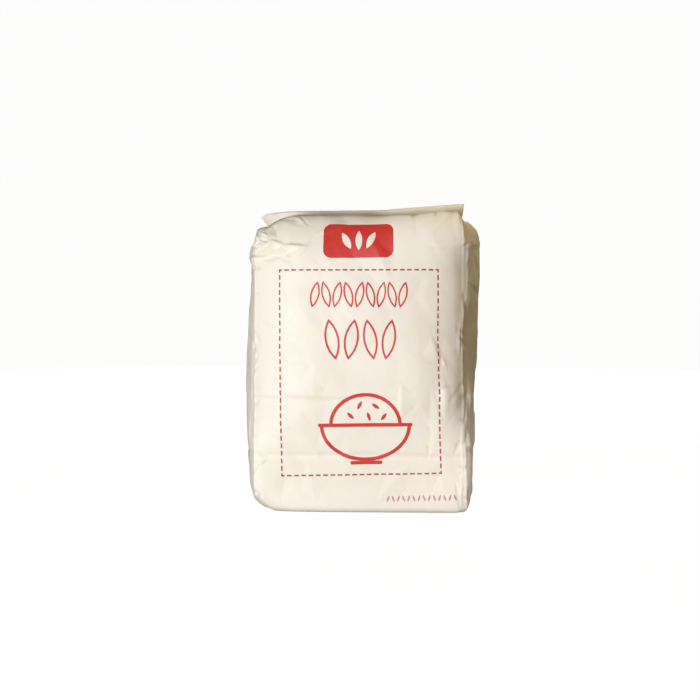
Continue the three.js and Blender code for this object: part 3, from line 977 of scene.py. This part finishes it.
def makeCamera():
    camera = bpy.data.objects.new("camera", bpy.data.cameras.new("camera"))
    camera.data.sensor_width = photo["sensor"]
    camera.data.lens = photo["sensor"] * photo["away"] / (photo["frame"] * photo["scale"])
    bpy.context.scene.collection.objects.link(camera)
    place = np.array(photo["aim"]) + directionTo(photo["azimuth"], photo["elevation"]) * photo["away"]
    aimAt(camera, place, photo["aim"])
    bpy.context.scene.camera = camera


stage = {"rings": (0.0001, 1, 2), "flat": 2.8, "bend": 0.8, "tall": 4.0, "steps": 13, "around": 64,
         "white": 0.965, "grey": (0.1, 0.105, 0.11),
         "ambient": (1, 0.78, 0.54), "ambientStrength": 0.14}


# a round floor that curves up into a wall all the way round: a quarter circle turned about Z
def makeStage():
    turn = np.linspace(0, math.pi / 2, stage["steps"])
    reach = np.concatenate([stage["rings"], stage["flat"] + stage["bend"] * np.sin(turn),
                            [stage["flat"] + stage["bend"]]])
    height = np.concatenate([np.zeros(len(stage["rings"])), stage["bend"] * (1 - np.cos(turn)),
                             [stage["tall"]]])
    angle = np.linspace(0, 2 * math.pi, stage["around"], endpoint=False)
    points = np.stack([reach[:, None] * np.cos(angle), reach[:, None] * np.sin(angle),
                       height[:, None] + 0 * angle], axis=2)
    floor = newPiece("floor", points.reshape(-1, 3),
                     gridQuads(len(reach), stage["around"], True)[:, ::-1])
    material = bpy.data.materials.new("floor")
    material.use_nodes = True
    shader = material.node_tree.nodes["Principled BSDF"]
    shader.inputs["Base Color"].default_value = (*stage["grey"], 1)
    shader.inputs["Roughness"].default_value = 0.9
    shader.inputs["Specular IOR Level"].default_value = 0
    shader.inputs["Emission Color"].default_value = (1, 1, 1, 1)
    shader.inputs["Emission Strength"].default_value = stage["white"]
    floor.data.materials.append(material)
    floor.visible_diffuse = False
    floor.visible_glossy = False
    floor.visible_shadow = False
    world = bpy.data.worlds.new("world")
    bpy.context.scene.world = world
    world.use_nodes = True
    nodes, links = world.node_tree.nodes, world.node_tree.links
    background = nodes["Background"]
    background.inputs["Color"].default_value = (*stage["ambient"], 1)
    background.inputs["Strength"].default_value = stage["ambientStrength"]
    white = nodes.new("ShaderNodeBackground")
    white.inputs["Color"].default_value = (1, 1, 1, 1)
    path = nodes.new("ShaderNodeLightPath")
    mix = nodes.new("ShaderNodeMixShader")
    links.new(path.outputs["Is Camera Ray"], mix.inputs["Fac"])
    links.new(background.outputs["Background"], mix.inputs[1])
    links.new(white.outputs["Background"], mix.inputs[2])
    links.new(mix.outputs["Shader"], nodes["World Output"].inputs["Surface"])


# angles in degrees, round from the front and up; a light with a small spread lights a small part
lights = {
    "key": {"azimuth": -23, "elevation": -1, "away": 1.25, "size": 0.3, "power": 13.4,
            "colour": (1, 1, 1)},
    "lowFill": {"azimuth": 56, "elevation": -21, "away": 0.36, "size": 0.1, "power": 0.011,
                "colour": (1, 0.94, 0.97), "aim": (0.1, -0.03, 0.03), "spread": 45},
    "leftFill": {"azimuth": -84, "elevation": 8, "away": 1.6, "size": 1.0, "power": 1.0,
                 "colour": (0.5, 0.8, 1)},
    "rightFill": {"azimuth": 78, "elevation": 55, "away": 0.45, "size": 0.2, "power": 0.115,
                  "colour": (1, 0.82, 0.40), "aim": (0.16, 0, 0.15), "spread": 80},
    "backFill": {"azimuth": 178, "elevation": 12, "away": 2.0, "size": 0.8, "power": 19,
                 "colour": (1, 0.97, 0.93)},
}


# each light stands off from the bag's middle and points at it, or at its own aim
def makeLights():
    middle = np.array([0, 0, 0.15])
    for name, values in lights.items():
        light = bpy.data.objects.new(name, bpy.data.lights.new(name, "AREA"))
        light.data.shape = "DISK"
        light.data.size = values["size"]
        light.data.energy = values["power"]
        light.data.color = values["colour"]
        light.data.spread = math.radians(values.get("spread", 180))
        light.visible_camera = False
        bpy.context.scene.collection.objects.link(light)
        place = middle + directionTo(values["azimuth"], values["elevation"]) * values["away"]
        aimAt(light, place, values.get("aim", middle))


makeCamera()
makeStage()
makeLights()
bpy.context.scene.view_settings.view_transform = "Standard"
print("stage, lights and camera made")

for piece in (bagSkin, closingStrip, backSeam, *baseSheets):
    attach(piece, "root")
    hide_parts("bag")
